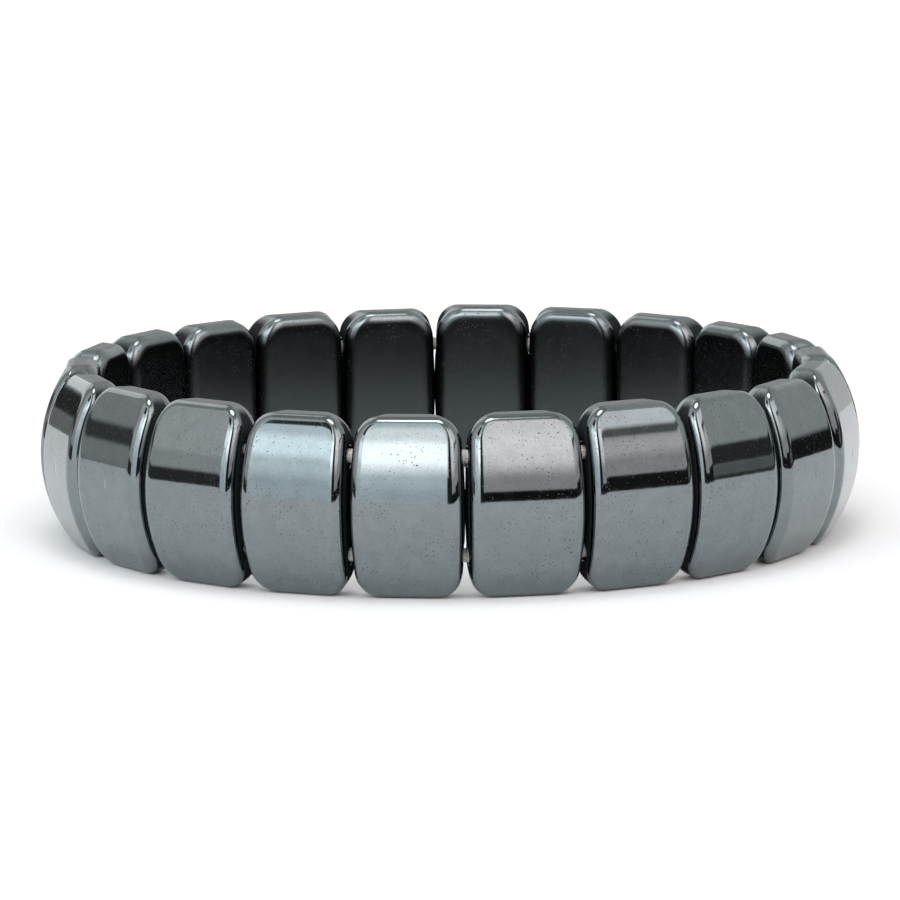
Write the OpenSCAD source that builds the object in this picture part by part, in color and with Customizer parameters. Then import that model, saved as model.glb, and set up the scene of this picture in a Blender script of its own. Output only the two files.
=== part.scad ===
// Bracelet of domed hematite tablets, strung side by side on two rings of elastic.
// It lies flat: +Z is up, the floor is z = 0, and the wearer's side is the middle of the ring.

/* [Ring] */
// Number of beads in the ring
bead_count = 22; // [20:1:24]
// Width of the oval of the ring over its depth
oval_ratio = 1.06; // [1:0.01:1.14]
// Turn of the oval seen from above, in degrees
oval_turn = 2.7; // [-10:0.1:10]
// How far the foremost joint between two beads lies to the right of the front
joint_shift = 1.2; // [-4:0.05:4]
// Clear gap between two neighbouring beads on the line where they meet
bead_gap = 0.1; // [0.1:0.02:0.3]

/* [Bead] */
// Width of a bead along the row
bead_w = 8.5; // [8:0.1:9]
// Height of a bead
bead_h = 14.2; // [13.8:0.1:14.8]
// From the line where the beads meet to the inner face
inner_depth = 1.9; // [1.7:0.1:2.2]
// From the line where the beads meet to the crown of the outer face
outer_depth = 2.9; // [2.7:0.1:3.1]
// How far the outer face falls back from its crown to its ends
dome_rise = 2.3; // [2:0.05:2.4]
// How far each end face falls back from its middle to the level of the ends
end_bow = 0.4; // [0.3:0.05:0.5]
// Lean of the end faces inwards from the line where the beads meet, in degrees
end_lean = 11.5; // [11:0.5:13]

/* [Rounding] */
// Rounding of the upright edges of the outer face
rim_round = 0.85; // [0.6:0.05:1]
// Rounding of the four corners seen from the front
corner_round = 1.9; // [1.5:0.1:2.2]
// Rounding of the edges of the inner face
back_round = 0.8; // [0.6:0.1:1.1]
// Width taken off the top where it meets the outer face
arris_flat = 0.3; // [0.2:0.05:0.4]

/* [Elastic] */
// Diameter of the elastic
elastic_d = 1.1; // [0.9:0.1:1.2]
// Diameter of the holes
hole_d = 1.5; // [1.4:0.1:1.6]
// Diameter of the worn mouth of a hole
mouth_d = 1.9; // [1.8:0.1:2.1]
// Distance between the two holes of a bead
hole_spacing = 7.6; // [7:0.1:8]

/* [Hidden] */
$fn = 48;
stone = [0.24, 0.26, 0.28];
thread = [0.86, 0.84, 0.78];
// Clearance that keeps one cutting outline from running along another
slack = 0.02;
// Angle between a rounding and the faces that it joins
blend = 12;
// Length of a cutter that runs right through a bead
through = 40;
// Steps in which the oval is measured
oval_steps = 360;
// Sides of the elastic
elastic_sides = 8;

// How each bead differs from the nominal one, from the far left round the front:
// taller, wider, deeper at the back, all in millimetres
TALLER = 0;
WIDER = 1;
DEEPER = 2;
DIFFERENCES = [
    [-0.1, 0.0, 0.0],
    [0.1, 0.0, 0.0],
    [0.1, 0.1, 0.0],
    [-0.2, -0.2, 0.1],
    [-0.2, 0.0, 0.0],
    [-0.1, 0.3, 0.0],
    [0.2, 0.1, 0.3],
    [0.1, -0.2, 0.0],
    [-0.1, 0.0, 0.0],
    [0.1, 0.0, 0.1],
    [0.0, 0.1, 0.0],
    [0.0, -0.1, 0.0],
    [0.0, 0.0, 0.1],
    [0.0, 0.1, 0.0],
    [0.1, -0.1, 0.0],
    [0.2, 0.0, 0.0],
    [-0.1, 0.0, 0.1],
    [0.0, 0.1, 0.0],
    [-0.1, -0.1, 0.0],
    [0.0, 0.0, 0.1],
    [0.0, -0.1, 0.0],
    [0.0, 0.0, 0.0],
];

function difference_of(bead, column) = DIFFERENCES[bead % len(DIFFERENCES)][column];
function width_of(bead) = bead_w + difference_of(bead, WIDER);
function height_of(bead) = bead_h + difference_of(bead, TALLER);
function inner_depth_of(bead) = inner_depth + difference_of(bead, DEEPER);

// The oval on which the beads meet, as points at equal steps of angle
function total(list, last) = last < 0 ? 0 : list[last] + total(list, last - 1);
row_length = total([for (i = [0 : bead_count - 1]) width_of(i) + bead_gap], bead_count - 1);
function unit_oval(angle) = [oval_ratio * cos(angle), sin(angle)];
function steps_to(step) = norm(unit_oval(step * 360 / oval_steps) - unit_oval((step - 1) * 360 / oval_steps));
unit_steps = [for (step = [1 : oval_steps]) steps_to(step)];
unit_girth = total(unit_steps, oval_steps - 1);
oval_size = row_length / unit_girth;
// Distance along the oval beside the angle there, to look one up from the other
distances = [
    for (step = 0, far = 0;
         step <= oval_steps;
         far = far + (step < oval_steps ? unit_steps[step] : 0) * oval_size, step = step + 1)
        [far, step * 360 / oval_steps]
];
angles = [for (pair = distances) [pair[1], pair[0]]];
front_distance = lookup(270 - oval_turn, angles) + joint_shift;
half_front = floor(bead_count * 5 / 22);
function row_start(bead) = bead <= 0 ? 0 : total([for (i = [0 : bead - 1]) width_of(i) + bead_gap], bead - 1);
function wrap(distance) = distance - floor(distance / row_length) * row_length;
function turned(point, angle) = [
    point.x * cos(angle) - point.y * sin(angle),
    point.x * sin(angle) + point.y * cos(angle)
];
// Point on the oval where a bead starts, which is where the one before it ends
function meeting(bead) = turned(
    unit_oval(lookup(wrap(front_distance - row_start(half_front) + row_start(bead)), distances)) * oval_size,
    oval_turn
);
function next(bead) = (bead + 1) % bead_count;
function before(bead) = (bead + bead_count - 1) % bead_count;
function direction(bead) = let (along = meeting(next(bead)) - meeting(bead)) along / norm(along);

// The dome is part of a level cylinder
function dome_radius(height) = (pow(height / 2, 2) + pow(dome_rise, 2)) / (2 * dome_rise);
function bow_radius(height) = (pow(height / 2, 2) + pow(end_bow, 2)) / (2 * end_bow);
function fall(radius, off) = radius - sqrt(radius * radius - off * off);

// What lies outside a round corner: the circle meets both sides of the corner at the angle blend
module beyond_round(corner, radius, towards) {
    centre = corner - towards * radius * cos(blend);
    translate(centre) difference() {
        polygon([[0, 0], [towards.x * through, 0], towards * through, [0, towards.y * through]]);
        circle(radius);
    }
}

// Outline of a bead from the side: x is outwards, y is up from its middle
module side_outline(height, back) {
    half = height / 2;
    radius = dome_radius(height);
    axis = outer_depth - radius;
    // Where the top would meet the dome, and the ground edge that takes that corner off
    corner_x = axis + sqrt(radius * radius - half * half);
    fall_angle = acos(half / radius) / 2;
    outside = [corner_x - arris_flat + cos(fall_angle) * bead_w, half - sin(fall_angle) * bead_w];
    difference() {
        intersection() {
            translate([axis, 0]) circle(radius, $fn = 180);
            polygon([
                [-back, half], [corner_x - arris_flat, half], outside,
                [outside.x, -outside.y], [corner_x - arris_flat, -half], [-back, -half]
            ]);
        }
        for (side = [-1, 1]) beyond_round([-back, side * half], back_round, [-1, side]);
    }
}

// Outline of a bead from the front, with bowed ends and round corners
module front_outline(width, height) {
    half = height / 2 + slack;
    radius = bow_radius(height);
    corner_x = width / 2 - fall(radius, half - corner_round);
    difference() {
        intersection() {
            square([width + 1, 2 * half], center = true);
            translate([width / 2 - radius, 0]) circle(radius, $fn = 180);
            translate([radius - width / 2, 0]) circle(radius, $fn = 180);
        }
        for (x = [-1, 1], y = [-1, 1])
            beyond_round([x * corner_x, y * half], corner_round, [x, y]);
    }
}

// Outline of a bead from above: the ends lean in towards the wearer, with round back edges
module plan_outline(width, back) {
    far = -back - slack;
    lean = tan(end_lean);
    front = outer_depth + 1;
    corner_x = width / 2 + (far + back_round) * lean;
    difference() {
        polygon([
            [-width / 2 - far * lean, far], [width / 2 + far * lean, far],
            [width / 2 + front * lean, front], [-width / 2 - front * lean, front]
        ]);
        for (x = [-1, 1]) beyond_round([x * corner_x, far], back_round, [x, -1]);
    }
}

// A wheel whose rounded rim gives the dome its round upright edges
module rim_wheel(width, height) {
    radius = dome_radius(height) + slack;
    half = width / 2 + slack;
    translate([0, outer_depth + slack - radius, 0]) rotate([90, 0, 90]) rotate_extrude($fn = 180)
        difference() {
            translate([0, -half]) square([radius, 2 * half]);
            for (y = [-1, 1]) beyond_round([radius, y * half], rim_round, [1, y]);
        }
}

// One hole along the row, with a mouth worn wider at each end
module hole(width) {
    end = width / 2 - (mouth_d - hole_d) / 2;
    past = 0.6;
    rotate([90, 0, 90]) rotate_extrude()
        polygon([
            [0, -end - past], [hole_d / 2 + past, -end - past], [hole_d / 2, -end],
            [hole_d / 2, end], [hole_d / 2 + past, end + past], [0, end + past]
        ]);
}

module tablet(width, height, back) {
    difference() {
        intersection() {
            rotate([90, 0, 90]) linear_extrude(through, center = true) side_outline(height, back);
            rotate([90, 0, 0]) linear_extrude(through, center = true) front_outline(width, height);
            linear_extrude(through, center = true) plan_outline(width, back);
            rim_wheel(width, height);
        }
        for (z = [-0.5, 0.5] * hole_spacing)
            translate([0, 0, z + (bead_h - height) / 2])
                hole(width - 2 * fall(bow_radius(height), hole_spacing / 2));
    }
}

// A bead in its place, its inner face towards the middle of the ring
module bead(number) {
    height = height_of(number);
    start = meeting(number);
    along = direction(number);
    length = norm(meeting(next(number)) - start);
    middle = start + along * length / 2;
    color(stone)
        translate([middle.x, middle.y, height / 2])
            rotate([0, 0, atan2(along.y, along.x) + 180])
                tablet(length - bead_gap, height, inner_depth_of(number));
}

// One ring of elastic, straight through each bead and turning where two beads meet
module elastic(level) {
    rings = [
        for (i = [0 : bead_count - 1])
            let (
                mitre = direction(before(i)) + direction(i),
                outwards = [mitre.y, -mitre.x] / norm(mitre),
                stretch = 2 / norm(mitre)
            )
            [
                for (side = [0 : elastic_sides - 1])
                    let (
                        angle = (side + 0.5) * 360 / elastic_sides,
                        out = meeting(i) + outwards * stretch * cos(angle) * elastic_d / 2
                    )
                    [out.x, out.y, level + sin(angle) * elastic_d / 2]
            ]
    ];
    points = [for (ring = rings) each ring];
    faces = [
        for (i = [0 : bead_count - 1], side = [0 : elastic_sides - 1])
            let (
                here = i * elastic_sides,
                there = next(i) * elastic_sides,
                other = (side + 1) % elastic_sides
            )
            [here + side, there + side, there + other, here + other]
    ];
    color(thread) polyhedron(points, faces);
}

function two_digits(number) = str(number < 10 ? "0" : "", number);
function bead_name(bead) = str("bead_", two_digits(bead + 1));

for (i = [0 : bead_count - 1])
    bead(i);
elastic((bead_h + hole_spacing) / 2);  // elastic_upper
elastic((bead_h - hole_spacing) / 2);  // elastic_lower
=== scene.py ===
"""Stretch bracelet of domed hematite tablets: its beads, elastic, floor, light and camera."""

import math
from collections import namedtuple

import bmesh
import bpy
import numpy as np
from bpy.props import FloatProperty, FloatVectorProperty, IntProperty, PointerProperty
from mathutils import Matrix, Vector


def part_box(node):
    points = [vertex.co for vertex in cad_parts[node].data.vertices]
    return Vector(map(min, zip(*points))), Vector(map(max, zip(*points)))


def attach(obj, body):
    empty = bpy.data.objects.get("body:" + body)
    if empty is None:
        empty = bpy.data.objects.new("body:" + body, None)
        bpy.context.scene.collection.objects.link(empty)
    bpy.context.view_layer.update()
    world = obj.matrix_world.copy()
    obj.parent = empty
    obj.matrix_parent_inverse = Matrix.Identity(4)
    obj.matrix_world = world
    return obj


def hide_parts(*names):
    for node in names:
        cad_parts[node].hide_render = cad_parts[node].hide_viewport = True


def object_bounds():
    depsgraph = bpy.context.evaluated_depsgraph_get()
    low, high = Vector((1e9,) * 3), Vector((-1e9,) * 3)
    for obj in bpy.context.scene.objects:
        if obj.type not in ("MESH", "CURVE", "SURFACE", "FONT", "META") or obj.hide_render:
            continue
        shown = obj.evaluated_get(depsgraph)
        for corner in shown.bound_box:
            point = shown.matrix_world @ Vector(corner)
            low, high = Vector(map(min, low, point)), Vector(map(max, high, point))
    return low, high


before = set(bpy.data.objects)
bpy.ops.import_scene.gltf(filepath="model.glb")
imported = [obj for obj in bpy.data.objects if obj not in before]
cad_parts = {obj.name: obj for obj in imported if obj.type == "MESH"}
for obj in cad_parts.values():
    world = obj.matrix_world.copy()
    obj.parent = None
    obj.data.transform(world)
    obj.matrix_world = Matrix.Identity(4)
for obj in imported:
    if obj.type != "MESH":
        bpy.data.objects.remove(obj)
CAD_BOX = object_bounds()

bl_info = {
    "name": "Hematite bracelet",
    "version": (1, 0, 0),
    "blender": (4, 5, 0),
    "location": "3D View > Sidebar > Bracelet",
    "description": "Makes a stretch bracelet of domed hematite tablets and lights it for a picture",
    "category": "Mesh",
}

MM = 0.001
BEAD_NODES = sorted(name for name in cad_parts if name.startswith("bead_"))
ELASTIC_NODES = ("elastic_upper", "elastic_lower")
# Numbers of the finishes on a bead: its outer face, its top, bottom and ends (the ends painted near-black
# as painted shade), and its inner face (painted dimmer as painted shade)
POLISHED, GROUND, INNER = range(3)
# How far the floor lies under the beads, so that no two faces share a plane
FLOOR_DROP = 0.02 * MM

Bead = namedtuple("Bead", "middle along outwards half_width inner height")
Panel = namedtuple("Panel", "left right low high light tint blur")


class BeadSettings(bpy.types.PropertyGroup):
    """Sizes that all the beads share. Their widths, heights and places come from the frame."""

    crown_depth: FloatProperty(
        name="Crown depth", description="From the line of the holes to the crown of the outer face",
        default=2.9 * MM, unit="LENGTH")
    dome_rise: FloatProperty(
        name="Dome rise", description="How far the outer face falls back from its crown to its ends",
        default=2.3 * MM, unit="LENGTH")
    end_bow: FloatProperty(
        name="End bow", description="How far each end face falls back at the top and bottom",
        default=0.4 * MM, unit="LENGTH")
    end_lean: FloatProperty(
        name="End lean", description="Lean of the end faces inwards behind the holes, at half the height",
        default=math.radians(11.5), subtype="ANGLE")
    closing: FloatProperty(
        name="Closing", description="How much wider each end is than the solid's, so that neighbours touch",
        default=0.065 * MM, unit="LENGTH")
    front_corner: FloatProperty(
        name="Front corner", description="Rounding of the four corners at the outer face",
        default=1.9 * MM, unit="LENGTH")
    back_corner: FloatProperty(
        name="Back corner", description="Rounding of the four corners at the inner face",
        default=2.6 * MM, unit="LENGTH")
    back_round: FloatProperty(
        name="Back round", description="Rounding of the edges of the inner face",
        default=1.0 * MM, unit="LENGTH")
    rim_round: FloatProperty(
        name="Rim round", description="Width of the rounding of the upright edges of the outer face",
        default=0.95 * MM, unit="LENGTH")
    rim_depth: FloatProperty(
        name="Rim depth", description="Depth of that rounding, which ends tighter than it starts",
        default=0.85 * MM, unit="LENGTH")
    arris_round: FloatProperty(
        name="Arris round", description="Width of the rounding from the outer face to the top or bottom",
        default=0.45 * MM, unit="LENGTH")
    hole_diameter: FloatProperty(
        name="Hole diameter", description="Diameter of the two holes along the row",
        default=1.5 * MM, unit="LENGTH")
    mouth_diameter: FloatProperty(
        name="Mouth diameter", description="Diameter of the worn mouth of a hole",
        default=1.9 * MM, unit="LENGTH")
    corner_steps: IntProperty(
        name="Corner steps", description="Steps round each corner seen from the front",
        default=12, min=4, max=32)
    level_steps: IntProperty(
        name="Level steps", description="Steps up each upright side", default=20, min=4, max=60)
    width_steps: IntProperty(
        name="Width steps", description="Steps along the top and the bottom", default=10, min=2, max=40)
    round_steps: IntProperty(
        name="Round steps", description="Steps across each rounded edge", default=8, min=3, max=20)
    dome_steps: IntProperty(
        name="Dome steps", description="Steps from the edge of the outer face to its middle",
        default=16, min=4, max=40)
    hole_steps: IntProperty(
        name="Hole steps", description="Steps round each hole", default=28, min=8, max=64)


class HematiteSettings(bpy.types.PropertyGroup):
    """Finish of the polished stone."""

    colour: FloatVectorProperty(
        name="Colour", description="Reflection of the polished stone seen straight on",
        subtype="COLOR", size=3, default=(0.19, 0.216, 0.222), min=0.0, max=1.0)
    roughness: FloatProperty(
        name="Roughness", description="Blur of the polish", default=0.05, min=0.0, max=1.0)
    ground_roughness: FloatProperty(
        name="Ground roughness", description="Blur of the ground tops, bottoms and ends", default=0.3,
        min=0.0, max=1.0)
    inner_roughness: FloatProperty(
        name="Inner roughness", description="Blur of the inner faces, which are less polished",
        default=0.2, min=0.0, max=1.0)
    # Painted shade: the inner faces' colour is dimmed to stand for the shaded floor inside the ring that
    # they mirror
    inner_shade_share: FloatProperty(
        name="Inner share", description="Reflection of the inner faces over that of the outer ones",
        default=0.34, min=0.0, max=1.0)
    # Painted shade: the ends' near-black colour stands partly for their dull ground finish and partly for
    # the shade where each end faces the next bead
    dull_and_shaded_end_colour: FloatVectorProperty(
        name="End colour", description="Dull colour of the ground ends, which face the next bead",
        subtype="COLOR", size=3, default=(0.022, 0.024, 0.026), min=0.0, max=1.0)
    pit_spacing: FloatProperty(
        name="Pit spacing", description="Mean distance between pits in the stone",
        default=0.28 * MM, unit="LENGTH")
    pit_size: FloatProperty(
        name="Pit size", description="Radius of the largest pits", default=0.055 * MM, unit="LENGTH")
    pit_depth: FloatProperty(
        name="Pit depth", description="Depth of the deepest pits", default=0.03 * MM, unit="LENGTH")
    pit_colour: FloatVectorProperty(
        name="Pit colour", description="Colour in the pits", subtype="COLOR", size=3,
        default=(0.02, 0.021, 0.022), min=0.0, max=1.0)
    pit_blur: FloatProperty(
        name="Pit blur", description="Roughness that a pit adds", default=0.5, min=0.0, max=1.0)
    relief: FloatProperty(
        name="Relief", description="Strength of the pits and swells on the polished faces", default=0.25)
    ground_relief: FloatProperty(
        name="Ground relief", description="Strength of the pits and swells on the ground faces",
        default=0.6)
    haze: FloatProperty(
        name="Haze", description="Roughness that the clouds in the stone add", default=0.025,
        min=0.0, max=1.0)
    crowd_scale: FloatProperty(
        name="Crowd scale", description="Crowds of larger pits to a metre", default=320.0)
    cloud_scale: FloatProperty(
        name="Cloud scale", description="Clouds in the stone to a metre", default=900.0)
    grain_scale: FloatProperty(
        name="Grain scale", description="Grains in the stone to a metre", default=5200.0)
    swell_scale: FloatProperty(
        name="Swell scale", description="Swells of the surface to a metre", default=170.0)


class ElasticSettings(bpy.types.PropertyGroup):
    """The stretch floss that the beads are strung on."""

    diameter: FloatProperty(
        name="Diameter", description="Diameter of the floss", default=1.1 * MM, unit="LENGTH")
    strands: IntProperty(
        name="Strands", description="Strands that show round the floss", default=14, min=6, max=24)
    ridge_height: FloatProperty(
        name="Ridge height", description="Height of the strands as a share of the radius",
        default=0.07, min=0.0, max=0.3)
    # Painted shade: crosswise darker and lighter bands in the floss's colour stand for the shade of
    # wrinkles round the ring
    wrinkle_shade_bands: FloatProperty(
        name="Bands", description="Crosswise wrinkles round the whole ring", default=760.0)
    fibre_scale: FloatProperty(
        name="Fibre scale", description="Fibres to a metre", default=2600.0)
    colour: FloatVectorProperty(
        name="Colour", description="Colour of the floss", subtype="COLOR", size=3,
        default=(0.8, 0.77, 0.7), min=0.0, max=1.0)


class StageSettings(bpy.types.PropertyGroup):
    """Camera, floor and light."""

    distance: FloatProperty(
        name="Distance", description="From the camera to the middle of the bracelet",
        default=356.0 * MM, unit="LENGTH")
    elevation: FloatProperty(
        name="Elevation", description="Height of the camera over the level of the bracelet",
        default=math.radians(9.765), subtype="ANGLE")
    aim_rise: FloatProperty(
        name="Aim rise", description="How far over the middle of the bracelet the camera aims",
        default=-0.863 * MM, unit="LENGTH")
    roll: FloatProperty(
        name="Roll", description="Tilt of the camera to the side",
        default=math.radians(-0.463), subtype="ANGLE")
    lens: FloatProperty(
        name="Lens", description="Focal length for a 36 mm film, in millimetres", default=172.4)
    floor_front: FloatProperty(
        name="Floor front", description="From the middle of the bracelet to the near edge of the floor",
        default=180 * MM, unit="LENGTH")
    floor_back: FloatProperty(
        name="Floor back", description="From the middle of the bracelet to the far edge of the floor",
        default=3.8, unit="LENGTH")
    floor_left: FloatProperty(
        name="Floor left", description="From the middle of the bracelet to the left edge of the floor",
        default=300 * MM, unit="LENGTH")
    floor_right: FloatProperty(
        name="Floor right", description="From the middle of the bracelet to the right edge of the floor",
        default=180 * MM, unit="LENGTH")
    floor_colour: FloatVectorProperty(
        name="Floor colour", description="Colour of the floor", subtype="COLOR", size=3,
        default=(0.86, 0.87, 0.88), min=0.0, max=1.0)
    floor_light: FloatProperty(
        name="Floor light", description="The room's light on dull surfaces over what the beads mirror",
        default=1.15)
    surround: FloatProperty(
        name="Surround", description="Light of the room between the panels", default=0.9)
    overhead: FloatProperty(
        name="Overhead", description="Light of the soft lamp overhead", default=6.0)
    lamp_low: FloatProperty(
        name="Lamp low", description="Angle over the level where the lamp overhead starts to show",
        default=math.radians(77.0), subtype="ANGLE")
    lamp_high: FloatProperty(
        name="Lamp high", description="Angle over the level where the lamp overhead is full",
        default=math.radians(83.0), subtype="ANGLE")


def measured(node):
    """The place and sizes of a bead, from the volume of its solid and how far that reaches."""
    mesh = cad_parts[node].data
    mesh.calc_loop_triangles()
    points = np.array([v.co for v in mesh.vertices], float)
    corners = points[np.array([t.vertices for t in mesh.loop_triangles])]
    volumes = np.einsum("ij,ij->i", corners[:, 0], np.cross(corners[:, 1], corners[:, 2])) / 6
    centre = (volumes[:, None] * corners.sum(1)).sum(0) / 4 / volumes.sum()
    offsets = corners - centre
    shares = np.einsum("ij,ij->i", offsets[:, 0], np.cross(offsets[:, 1], offsets[:, 2])) / 6
    sums = offsets.sum(1)
    spread = np.einsum("n,nki,nkj->ij", shares, offsets, offsets)
    spread += np.einsum("n,ni,nj->ij", shares, sums, sums)
    along_x, along_y = np.linalg.eigh(spread[:2, :2])[1][:, 1]
    outwards = Vector((along_y, -along_x, 0.0))
    if outwards.dot(Vector(centre)) < 0:
        outwards.negate()
    along = Vector((0.0, 0.0, 1.0)).cross(outwards)
    across = points @ np.array(along)
    deep = points @ np.array(outwards)
    s = bpy.context.scene.bracelet_beads
    row_line = deep.max() - s.crown_depth
    middle = along * (across.max() + across.min()) / 2 + outwards * row_line
    low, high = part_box(node)
    half_width = (across.max() - across.min()) / 2 + s.closing
    return Bead(middle, along, outwards, half_width, row_line - deep.min(), high.z - low.z)


def fall(radius, off):
    """How far a circle has fallen away at a distance off its crown."""
    return radius - math.sqrt(radius * radius - off * off)


def bow_radius(rise, height):
    """Radius of the arc that falls back by rise at the ends of a bead of this height."""
    return ((height / 2) ** 2 + rise ** 2) / (2 * rise)


def finished(obj):
    """Applies the object's modifiers, so that its mesh is what shows."""
    graph = bpy.context.evaluated_depsgraph_get()
    mesh = bpy.data.meshes.new_from_object(obj.evaluated_get(graph))
    old = obj.data
    obj.modifiers.clear()
    obj.data = mesh
    mesh.name = obj.name
    bpy.data.meshes.remove(old)


def new_object(name, bm):
    """An object in the scene made from a bmesh, which it frees."""
    mesh = bpy.data.meshes.new(name)
    bm.to_mesh(mesh)
    bm.free()
    obj = bpy.data.objects.new(name, mesh)
    bpy.context.scene.collection.objects.link(obj)
    return obj


def wrapped_grid(around, stations, place, finish=None):
    """A grid wrapped round into a tube: place gives the point for a step round and a station along it.

    finish gives the number of the material of the faces that start at a station."""
    bm = bmesh.new()
    bmesh.ops.create_grid(bm, x_segments=around, y_segments=stations - 1, size=0.5)
    for face in bm.faces:
        start = int((face.calc_center_median().y + 0.5) * (stations - 1))
        face.material_index = finish(start) if finish else 0
    for v in bm.verts:
        step = round((v.co.x + 0.5) * around) % around
        station = round((v.co.y + 0.5) * (stations - 1))
        v.co = place(step, station)
    bmesh.ops.remove_doubles(bm, verts=bm.verts, dist=1e-7)
    return bm


def outline_steps(s):
    """Steps round the front outline of a bead: its corner, how far along, and whether on the arc."""
    steps = []
    for corner in range(4):
        steps += [(corner, i / s.corner_steps, True) for i in range(s.corner_steps)]
        side_steps = s.level_steps if corner % 2 else s.width_steps
        steps += [(corner, i / side_steps, False) for i in range(side_steps)]
    return steps


def outline_point(step, half_width, half_height, corner_round, inset_side, inset_top):
    """A point of a rounded rectangle drawn in at its ends and at its top and bottom, and how far."""
    corner, share, on_arc = step
    signs = ((1, 1), (-1, 1), (-1, -1), (1, -1))
    turn = math.pi / 2 * (corner + share) if on_arc else math.pi / 2 * (corner + 1)
    normal = Vector((math.cos(turn), math.sin(turn)))
    side_x, side_z = signs[corner]
    centre = Vector((side_x * (half_width - corner_round), side_z * (half_height - corner_round)))
    if not on_arc:
        side_x, side_z = signs[(corner + 1) % 4]
        onward = Vector((side_x * (half_width - corner_round), side_z * (half_height - corner_round)))
        centre = centre.lerp(onward, share)
    inset = inset_side * normal.x ** 2 + inset_top * normal.y ** 2
    return centre + normal * (corner_round - inset), inset


def bead_stations(s):
    """Stations from the middle of the inner face to that of the outer one: the kind and share of each.

    The share runs from 0 at the start of a kind to 1 at its end, but on the two faces it is the
    part of the way from the middle to the edge."""
    stations = [("back", 0.5), ("back", 0.9)]
    stations += [("back_round", i / s.round_steps) for i in range(s.round_steps + 1)]
    stations += [("side", 0.3), ("side", 0.6)]
    stations += [("front_round", i / s.round_steps) for i in range(s.round_steps + 1)]
    stations += [("front", 1 - (i + 1) / (s.dome_steps + 1)) for i in range(s.dome_steps)]
    return stations


def bead_point(bead, s, step, station):
    """A point on the bead's skin: x along the row, y outwards from the holes and z up from the floor."""
    kind, share = station
    half = bead.height / 2
    corner = s.front_corner
    if kind in ("back", "back_round"):
        corner = s.back_corner
    elif kind == "side":
        corner = s.back_corner * (1 - share) + s.front_corner * share
    spread = 1.0
    side, top = 0.0, 0.0
    if kind == "back_round":
        side = top = s.back_round * (1 - math.sin(share * math.pi / 2))
    elif kind == "back":
        side = top = s.back_round
        spread = share
    elif kind == "front_round":
        side = s.rim_round * (1 - math.cos(share * math.pi / 2))
        top = s.arris_round * (1 - math.cos(share * math.pi / 2))
    elif kind == "front":
        side, top = s.rim_round, s.arris_round
        spread = share
    place, inset = outline_point(step, bead.half_width, half, corner, side, top)
    place *= spread
    front = s.crown_depth - fall(bow_radius(s.dome_rise, bead.height), place.y)
    if kind == "back":
        depth = -bead.inner
    elif kind == "back_round":
        depth = -bead.inner + s.back_round * (1 - math.cos(share * math.pi / 2))
    else:
        _, turn_in = outline_point(step, bead.half_width, half, corner, s.rim_depth, s.arris_round)
        start = front - turn_in
        if kind == "side":
            depth = (s.back_round - bead.inner) * (1 - share) + start * share
        elif kind == "front_round":
            depth = start + turn_in * math.sin(share * math.pi / 2)
        else:
            depth = front
    lean = math.tan(s.end_lean) * (1 - (place.y / half) ** 2)
    ends = fall(bow_radius(s.end_bow, bead.height), place.y) - min(depth, 0.0) * lean
    across = place.x * (1 - ends / bead.half_width)
    return Vector((across, depth, place.y + half))


def hole_cutters(bead, s, levels):
    """Solids of the two holes, each with a mouth worn wider at its ends."""
    narrow = s.hole_diameter / 2
    wear = (s.mouth_diameter - s.hole_diameter) / 2
    # How far a mouth goes on past the end face, so that it cuts right through
    past = 0.6 * MM
    bow = bow_radius(s.end_bow, bead.height)
    bm = bmesh.new()
    for level in levels:
        end = bead.half_width - fall(bow, level - bead.height / 2) - wear
        profile = [(-end - past, 0), (-end - past, narrow + past), (-end, narrow),
                   (end, narrow), (end + past, narrow + past), (end + past, 0)]
        line = [bm.verts.new((x, 0, level + up)) for x, up in profile]
        edges = [bm.edges.new(pair) for pair in zip(line, line[1:])]
        bmesh.ops.spin(
            bm, geom=line + edges, cent=(0, 0, level), axis=(1, 0, 0), angle=2 * math.pi,
            steps=s.hole_steps, use_merge=True)
    bmesh.ops.remove_doubles(bm, verts=bm.verts, dist=1e-6)
    bmesh.ops.recalc_face_normals(bm, faces=bm.faces)
    return new_object("hole_cutters", bm)


def bead_skin(bead, s):
    """The closed skin of a bead, before it is drilled."""
    steps = outline_steps(s)
    stations = bead_stations(s)

    def place(step, station):
        return bead_point(bead, s, steps[step], stations[station])

    def finish(station):
        kind, share = stations[station]
        if kind == "side" or (kind, share) == ("back_round", 1):
            return GROUND
        return INNER if kind in ("back", "back_round") else POLISHED

    bm = wrapped_grid(len(steps), len(stations), place, finish)
    caps = bmesh.ops.holes_fill(bm, edges=[e for e in bm.edges if e.is_boundary])["faces"]
    for cap in caps:
        cap.material_index = finish(0 if cap.calc_center_median().y < 0 else len(stations) - 1)
    bmesh.ops.recalc_face_normals(bm, faces=bm.faces)
    for face in bm.faces:
        face.smooth = True
    return bm


def make_bead(node, hole_levels, finishes):
    """One polished tablet in the place of its CAD node."""
    s = bpy.context.scene.bracelet_beads
    bead = measured(node)
    obj = new_object("hematite_" + node, bead_skin(bead, s))
    for finish in finishes:
        obj.data.materials.append(finish)
    cutters = hole_cutters(bead, s, hole_levels)
    holes = obj.modifiers.new("holes", "BOOLEAN")
    holes.operation = "DIFFERENCE"
    holes.solver = "EXACT"
    holes.object = cutters
    shading = obj.modifiers.new("shading", "WEIGHTED_NORMAL")
    shading.weight = 80
    finished(obj)
    cutter_mesh = cutters.data
    bpy.data.objects.remove(cutters)
    bpy.data.meshes.remove(cutter_mesh)
    place = Matrix((
        (-bead.along.x, bead.outwards.x, 0, bead.middle.x),
        (-bead.along.y, bead.outwards.y, 0, bead.middle.y),
        (0, 0, 1, 0),
        (0, 0, 0, 1)))
    obj.data.transform(place)
    return obj


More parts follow.
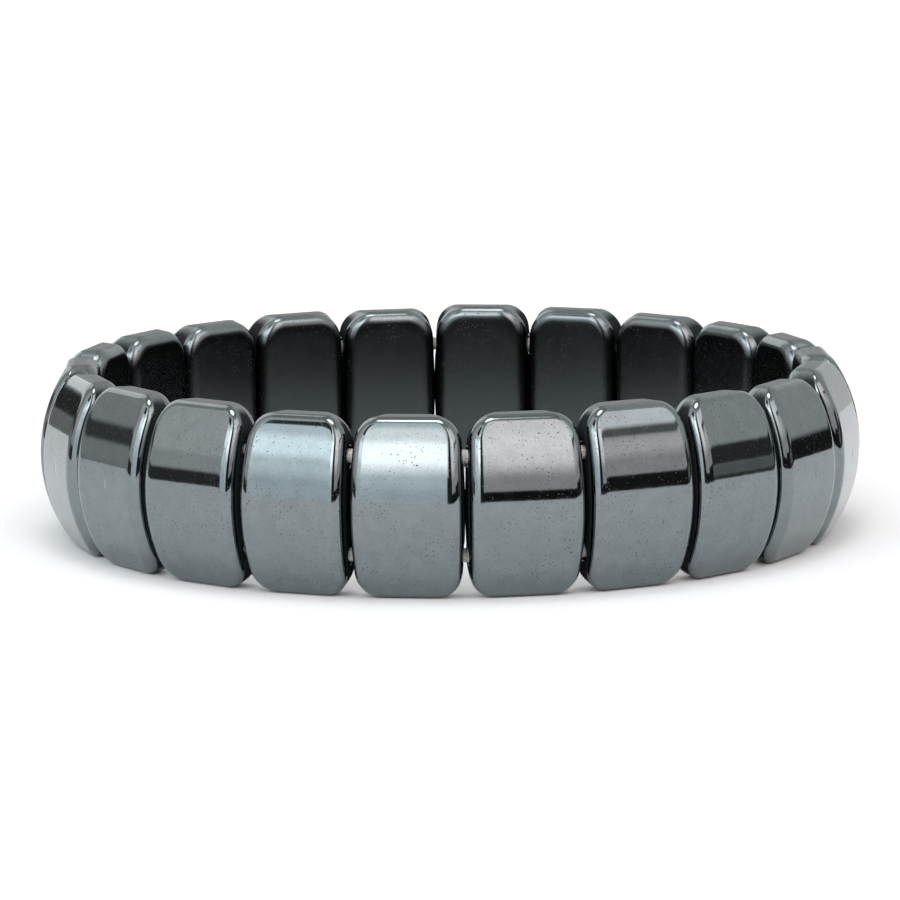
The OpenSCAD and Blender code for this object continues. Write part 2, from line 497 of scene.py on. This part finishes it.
class Nodes:
    """Adds nodes to a tree and links them."""

    def __init__(self, tree):
        self.tree = tree
        tree.nodes.clear()

    def add(self, kind, values=None, **settings):
        """A new node with its settings, and for its sockets values or the sockets of other nodes."""
        node = self.tree.nodes.new(kind)
        for name, value in settings.items():
            setattr(node, name, value)
        for name, value in (values or {}).items():
            if isinstance(value, bpy.types.NodeSocket):
                self.tree.links.new(value, node.inputs[name])
            else:
                node.inputs[name].default_value = value
        return node

    def math(self, operation, first, second=0.0):
        """The result of a calculation with one or two values."""
        return self.add("ShaderNodeMath", {0: first, 1: second}, operation=operation).outputs[0]

    def ramp(self, value, low, high, out_low=0.0, out_high=1.0):
        """Smooth step of a value between low and high."""
        return self.add(
            "ShaderNodeMapRange",
            {"Value": value, "From Min": low, "From Max": high, "To Min": out_low, "To Max": out_high},
            interpolation_type="SMOOTHSTEP").outputs[0]

    def noise(self, place, scale, detail):
        """Soft noise with this many waves to a metre."""
        return self.add(
            "ShaderNodeTexNoise", {"Vector": place, "Scale": scale, "Detail": detail}).outputs["Fac"]

    def level_share(self, low, high):
        """None where the surface faces sideways, full where it faces up or down."""
        facing = self.add("ShaderNodeNewGeometry").outputs["Normal"]
        upwards = self.add("ShaderNodeSeparateXYZ", {"Vector": facing}).outputs["Z"]
        return self.ramp(self.math("ABSOLUTE", upwards), low, high)


def new_material(name):
    """A new material and its emptied nodes."""
    material = bpy.data.materials.new(name)
    material.use_nodes = True
    return material, Nodes(material.node_tree)


def colour4(colour, scale=1.0):
    """A colour with full alpha, made lighter or darker by scale."""
    return (colour[0] * scale, colour[1] * scale, colour[2] * scale, 1.0)


def mixed_colour(nodes, share, first, second):
    """The first colour where share is none, the second where it is full."""
    node = nodes.add("ShaderNodeMix", data_type="RGBA")
    nodes.tree.links.new(share, node.inputs[0])
    for socket, value in ((node.inputs[6], first), (node.inputs[7], second)):
        if isinstance(value, bpy.types.NodeSocket):
            nodes.tree.links.new(value, socket)
        else:
            socket.default_value = value
    return node.outputs[2]


def hematite_material(name, roughness, relief):
    """Hematite: a dark metallic mirror with fine pits, faint clouds and a slightly uneven surface."""
    s = bpy.context.scene.bracelet_hematite
    material, nodes = new_material(name)
    place = nodes.add("ShaderNodeTexCoord").outputs["Object"]
    # Pits are dark dots in the middles of cells, larger where they crowd
    cells = nodes.add(
        "ShaderNodeTexVoronoi", {"Vector": place, "Scale": 1.0 / s.pit_spacing, "Randomness": 1.0})
    reach = s.pit_size / s.pit_spacing
    size = nodes.ramp(nodes.noise(place, s.crowd_scale, 2.0), 0.32, 0.72, 0.5 * reach, reach)
    pits = nodes.ramp(nodes.math("SUBTRACT", size, cells.outputs["Distance"]), 0.0, 0.35 * reach)
    # Clouds and grain make the stone a little darker or lighter, and clouds make it hazier
    clouds = nodes.noise(place, s.cloud_scale, 3.0)
    grain = nodes.noise(place, s.grain_scale, 3.0)
    cloudy = nodes.ramp(nodes.math("ADD", clouds, grain), 0.75, 1.25)
    stone = mixed_colour(nodes, cloudy, colour4(s.colour, 0.93), colour4(s.colour, 1.06))
    pitted = mixed_colour(nodes, pits, stone, colour4(s.pit_colour))
    haze = nodes.ramp(clouds, 0.35, 0.75, roughness, roughness + s.haze)
    rough = nodes.math("ADD", haze, nodes.math("MULTIPLY", pits, s.pit_blur))
    swell = nodes.math("MULTIPLY", nodes.noise(place, s.swell_scale, 1.0), 0.25)
    bump = nodes.add(
        "ShaderNodeBump",
        {"Height": nodes.math("SUBTRACT", swell, pits), "Strength": relief, "Distance": s.pit_depth})
    shader = nodes.add(
        "ShaderNodeBsdfPrincipled",
        {"Base Color": pitted, "Metallic": 1.0, "Roughness": rough, "Normal": bump.outputs["Normal"]})
    if name == "hematite_ground_shaded_ends":
        # The ends are dull and painted near-black, partly for their ground finish and partly as painted
        # shade where they face the next bead; the tops and bottoms shine
        level = nodes.level_share(0.6, 0.95)
        nodes.tree.links.new(level, shader.inputs["Metallic"])
        shader.inputs["Specular IOR Level"].default_value = 0.0
        colour = mixed_colour(nodes, level, colour4(s.dull_and_shaded_end_colour), pitted)
        nodes.tree.links.new(colour, shader.inputs["Base Color"])
    elif name == "hematite_inner":
        # The inner face is painted dimmer than its upper and lower edges: painted shade for the shaded
        # floor inside the ring that it mirrors
        level = nodes.level_share(0.1, 0.5)
        colour = mixed_colour(nodes, level, colour4(s.colour, s.inner_shade_share), pitted)
        nodes.tree.links.new(colour, shader.inputs["Base Color"])
    out = nodes.add("ShaderNodeOutputMaterial")
    nodes.tree.links.new(shader.outputs["BSDF"], out.inputs["Surface"])
    return material


def elastic_material():
    """Off-white stretch floss with a soft sheen."""
    s = bpy.context.scene.bracelet_elastic
    material, nodes = new_material("elastic")
    place = nodes.add("ShaderNodeTexCoord").outputs["Object"]
    fibres = nodes.noise(place, s.fibre_scale, 4.0)
    parts = nodes.add("ShaderNodeSeparateXYZ", {"Vector": place}).outputs
    # Painted shade of crosswise wrinkles, as bands in the colour round the ring, mixed with the fibres'
    # tone
    turn = nodes.math("ARCTAN2", parts["Y"], parts["X"])
    wrinkle_shade_bands = nodes.math("SINE", nodes.math("MULTIPLY", turn, s.wrinkle_shade_bands))
    shade = nodes.ramp(nodes.math("ADD", fibres, nodes.math("MULTIPLY", wrinkle_shade_bands, 0.12)), 0.3, 0.7)
    colour = mixed_colour(nodes, shade, colour4(s.colour, 0.72), colour4(s.colour, 1.1))
    bump = nodes.add("ShaderNodeBump", {"Height": fibres, "Strength": 0.4, "Distance": 0.05 * MM})
    shader = nodes.add(
        "ShaderNodeBsdfPrincipled",
        {"Base Color": colour, "Roughness": 0.45, "Normal": bump.outputs["Normal"]})
    shader.inputs["Sheen Weight"].default_value = 0.3
    out = nodes.add("ShaderNodeOutputMaterial")
    nodes.tree.links.new(shader.outputs["BSDF"], out.inputs["Surface"])
    return material


def row_points():
    """Where neighbouring beads meet, in order round the ring, at the level of the floor."""
    beads = [measured(node) for node in BEAD_NODES]
    points = []
    for before, after in zip(beads[-1:] + beads[:-1], beads):
        end = before.middle + before.along * before.half_width
        start = after.middle - after.along * after.half_width
        points.append((end + start) / 2)
    return points


def make_floss(node, points):
    """A closed ring of floss through the points, with its strands as ridges."""
    s = bpy.context.scene.bracelet_elastic
    low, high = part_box(node)
    level = Vector((0, 0, (low.z + high.z) / 2))
    count = len(points)
    steps_to_a_strand = 4
    sides = steps_to_a_strand * s.strands
    frames = []
    for i, point in enumerate(points):
        step_in = (point - points[i - 1]).normalized()
        step_out = (points[(i + 1) % count] - point).normalized()
        heading = (step_in + step_out).normalized()
        sideways = Vector((heading.y, -heading.x, 0.0)) / heading.dot(step_out)
        frames.append((point + level, sideways))

    def place(step, station):
        centre, sideways = frames[station % count]
        angle = 2 * math.pi * step / sides
        ridge = abs(math.cos(s.strands * angle / 2))
        reach = s.diameter / 2 * (1 - s.ridge_height + s.ridge_height * ridge)
        return centre + sideways * (reach * math.cos(angle)) + Vector((0, 0, reach * math.sin(angle)))

    bm = wrapped_grid(sides, count + 1, place)
    bmesh.ops.recalc_face_normals(bm, faces=bm.faces)
    for face in bm.faces:
        face.smooth = True
    return new_object(node + "_floss", bm)


class BRACELET_OT_beads(bpy.types.Operator):
    """Make the polished hematite tablets"""

    bl_idname = "bracelet.beads"
    bl_label = "Beads"

    def execute(self, context):
        s = context.scene.bracelet_hematite
        finishes = [
            hematite_material("hematite", s.roughness, s.relief),
            hematite_material("hematite_ground_shaded_ends", s.ground_roughness, s.ground_relief),
            hematite_material("hematite_inner", s.inner_roughness, s.relief),
        ]
        levels = []
        for node in ELASTIC_NODES:
            low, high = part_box(node)
            levels.append((low.z + high.z) / 2)
        for node in BEAD_NODES:
            piece = make_bead(node, levels, finishes)
            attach(piece, "root")
            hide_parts(node)
        return {"FINISHED"}


class BRACELET_OT_elastic(bpy.types.Operator):
    """String the beads on two rings of stretch floss"""

    bl_idname = "bracelet.elastic"
    bl_label = "Elastic"

    def execute(self, context):
        material = elastic_material()
        points = row_points()
        for node in ELASTIC_NODES:
            piece = make_floss(node, points)
            piece.data.materials.append(material)
            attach(piece, "root")
            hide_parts(node)
        return {"FINISHED"}


GREY = (1.0, 1.0, 1.0)
COOL = (0.92, 1.01, 1.05)
WARM = (1.09, 0.98, 0.98)

# The room that the beads mirror. Angles in degrees: left and right from the camera's side, low and
# high over the level of the bracelet. Later panels lie over earlier ones.
PANELS = (
    Panel(-180, 180, -10, 95, 0.55, GREY, 8),
    # Far left: a lit wall over a dark shelf
    Panel(-165, -130, 9, 60, 1.5, GREY, 2),
    Panel(-165, -130, 3, 9, 0.05, GREY, 1.5),
    Panel(-165, -130, -10, 3, 0.3, GREY, 2),
    # Left: a grey wall with a dark band low on it
    Panel(-128, -98, 16, 66, 0.7, GREY, 2),
    Panel(-128, -98, 8, 15, 0.13, GREY, 2),
    Panel(-128, -98, 0, 7, 0.62, GREY, 2),
    Panel(-98, -60, 6, 66, 0.95, GREY, 5),
    Panel(-98, -60, 16, 66, 1.2, GREY, 4),
    Panel(-98, -60, -10, 6, 0.08, GREY, 2),
    # Left of the camera: a window, brightest near its middle, with a dark strip at its top left
    Panel(-60, -8, -10, 72, 1.4, COOL, 3),
    Panel(-60, -27, 14, 62, 2.15, COOL, 12),
    Panel(-60, -27, 27, 41, 3.45, COOL, 8),
    Panel(-60, -27, 49, 66, 0.08, GREY, 1.5),
    Panel(-27, -8, 8, 64, 1.9, COOL, 12),
    Panel(-27, -8, 19, 55, 3.1, GREY, 8),
    Panel(-27, -8, 25, 43, 4.9, GREY, 8),
    # Behind the camera
    Panel(-9, 15, -10, 17, 0.05, GREY, 3),
    Panel(-6, 12, 15, 33, 0.05, GREY, 3),
    Panel(-3, 9, 31, 50, 0.05, GREY, 3),
    # Right of the camera: a second, warmer window over a dark sill
    Panel(14, 44, 4, 68, 0.88, WARM, 2),
    Panel(14, 44, 20, 66, 2.5, WARM, 16),
    Panel(14, 44, 33, 48, 2.8, WARM, 8),
    Panel(44, 78, 7, 66, 0.9, WARM, 3),
    Panel(44, 78, 20, 31, 1.45, WARM, 8),
    Panel(44, 78, 32, 37, 0.3, GREY, 2),
    Panel(44, 78, 38, 62, 2.1, GREY, 3),
    Panel(13, 44, -10, 4.5, 0.02, GREY, 1.5),
    Panel(44, 78, -10, 7.5, 0.03, GREY, 1.5),
    # Right: a grey wall over dark things and a strip of floor
    Panel(78, 106, 15, 66, 0.9, GREY, 3),
    Panel(78, 106, 5, 15, 0.08, GREY, 2),
    Panel(78, 106, -0.8, 4.6, 0.31, GREY, 1.5),
    Panel(78, 106, -10, -0.8, 0.1, GREY, 1),
    Panel(106, 140, 6, 66, 0.8, GREY, 2),
    Panel(106, 140, -10, 5, 0.03, GREY, 2),
    # Far right: a plain grey wall
    Panel(140, 170, -10, 60, 0.85, GREY, 4),
)


def make_room():
    """World light painted as soft panels round the bracelet, with a plain pale background."""
    s = bpy.context.scene.bracelet_stage
    world = bpy.data.worlds.new("studio")
    bpy.context.scene.world = world
    world.use_nodes = True
    nodes = Nodes(world.node_tree)
    way = nodes.add("ShaderNodeTexCoord").outputs["Generated"]
    parts = nodes.add("ShaderNodeSeparateXYZ", {"Vector": way}).outputs
    degree = 180.0 / math.pi
    front = nodes.math("MULTIPLY", parts["Y"], -1.0)
    side = nodes.math("MULTIPLY", nodes.math("ARCTAN2", parts["X"], front), degree)
    up = nodes.math("MULTIPLY", nodes.math("ARCSINE", parts["Z"]), degree)
    light = (s.surround, s.surround, s.surround, 1.0)
    for panel in PANELS:
        half = panel.blur / 2
        share = nodes.ramp(up, panel.low - half, panel.low + half)
        share = nodes.math(
            "MULTIPLY", share, nodes.ramp(up, panel.high - half, panel.high + half, 1.0, 0.0))
        if panel.right - panel.left < 360:
            share = nodes.math(
                "MULTIPLY", share, nodes.ramp(side, panel.left - half, panel.left + half))
            share = nodes.math(
                "MULTIPLY", share, nodes.ramp(side, panel.right - half, panel.right + half, 1.0, 0.0))
        light = mixed_colour(nodes, share, light, colour4(panel.tint, panel.light))
    overhead = nodes.ramp(up, math.degrees(s.lamp_low), math.degrees(s.lamp_high))
    light = mixed_colour(nodes, overhead, light, (s.overhead, s.overhead, s.overhead, 1.0))
    ray = nodes.add("ShaderNodeLightPath").outputs
    strength = nodes.ramp(ray["Is Diffuse Ray"], 0.0, 1.0, 1.0, s.floor_light)
    room = nodes.add("ShaderNodeBackground", {"Color": light, "Strength": strength})
    backdrop = nodes.add("ShaderNodeBackground", {"Color": (1.0, 1.0, 1.0, 1.0), "Strength": 1.0})
    both = nodes.add("ShaderNodeMixShader")
    nodes.tree.links.new(ray["Is Camera Ray"], both.inputs[0])
    nodes.tree.links.new(room.outputs[0], both.inputs[1])
    nodes.tree.links.new(backdrop.outputs[0], both.inputs[2])
    out = nodes.add("ShaderNodeOutputWorld")
    nodes.tree.links.new(both.outputs[0], out.inputs["Surface"])


def make_floor():
    """A plain white floor."""
    s = bpy.context.scene.bracelet_stage
    bm = bmesh.new()
    bmesh.ops.create_grid(bm, x_segments=1, y_segments=1, size=0.5)
    wide, deep = s.floor_left + s.floor_right, s.floor_front + s.floor_back
    bmesh.ops.scale(bm, vec=(wide, deep, 1.0), verts=bm.verts)
    middle = ((s.floor_right - s.floor_left) / 2, (s.floor_back - s.floor_front) / 2, -FLOOR_DROP)
    bmesh.ops.translate(bm, vec=middle, verts=bm.verts)
    floor = new_object("floor", bm)
    material, nodes = new_material("white_floor")
    shader = nodes.add(
        "ShaderNodeBsdfPrincipled", {"Base Color": colour4(s.floor_colour), "Roughness": 0.7})
    shader.inputs["Specular IOR Level"].default_value = 0.2
    out = nodes.add("ShaderNodeOutputMaterial")
    nodes.tree.links.new(shader.outputs["BSDF"], out.inputs["Surface"])
    floor.data.materials.append(material)


def make_camera():
    """The camera at the angle of the picture."""
    s = bpy.context.scene.bracelet_stage
    middle = Vector((0, 0, (CAD_BOX[0][2] + CAD_BOX[1][2]) / 2))
    back = Vector((0, -math.cos(s.elevation), math.sin(s.elevation)))
    place = middle + back * s.distance
    heading = (middle + Vector((0, 0, s.aim_rise)) - place).to_track_quat("-Z", "Y").to_matrix().to_4x4()
    data = bpy.data.cameras.new("camera")
    data.sensor_width = 36.0
    data.lens = s.lens
    data.clip_start = 0.01
    data.clip_end = 20.0
    camera = bpy.data.objects.new("camera", data)
    camera.matrix_world = Matrix.Translation(place) @ heading @ Matrix.Rotation(s.roll, 4, "Z")
    bpy.context.scene.collection.objects.link(camera)
    bpy.context.scene.camera = camera


class BRACELET_OT_stage(bpy.types.Operator):
    """Lay the floor and set the light and the camera"""

    bl_idname = "bracelet.stage"
    bl_label = "Stage"

    def execute(self, context):
        context.scene.view_settings.view_transform = "Standard"
        context.scene.view_settings.look = "None"
        make_room()
        make_floor()
        make_camera()
        return {"FINISHED"}


class BRACELET_PT_panel(bpy.types.Panel):
    """Sidebar list of what makes the bracelet"""

    bl_label = "Bracelet"
    bl_idname = "BRACELET_PT_panel"
    bl_space_type = "VIEW_3D"
    bl_region_type = "UI"
    bl_category = "Bracelet"

    def draw(self, context):
        for step in STEPS:
            self.layout.operator(step.bl_idname)
        for name in SETTINGS:
            settings = getattr(context.scene, name)
            box = self.layout.box()
            for prop in settings.bl_rna.properties:
                if prop.identifier not in {"rna_type", "name"}:
                    box.prop(settings, prop.identifier)


SETTINGS = {
    "bracelet_beads": BeadSettings,
    "bracelet_hematite": HematiteSettings,
    "bracelet_elastic": ElasticSettings,
    "bracelet_stage": StageSettings,
}
STEPS = (BRACELET_OT_stage, BRACELET_OT_beads, BRACELET_OT_elastic)


def register():
    for cls in (*SETTINGS.values(), *STEPS, BRACELET_PT_panel):
        bpy.utils.register_class(cls)
    for name, cls in SETTINGS.items():
        setattr(bpy.types.Scene, name, PointerProperty(type=cls))


def unregister():
    for name in SETTINGS:
        delattr(bpy.types.Scene, name)
    for cls in reversed((*SETTINGS.values(), *STEPS, BRACELET_PT_panel)):
        bpy.utils.unregister_class(cls)


def main():
    register()
    bpy.ops.bracelet.stage()
    bpy.ops.bracelet.beads()
    bpy.ops.bracelet.elastic()


if __name__ == "__main__":
    main()
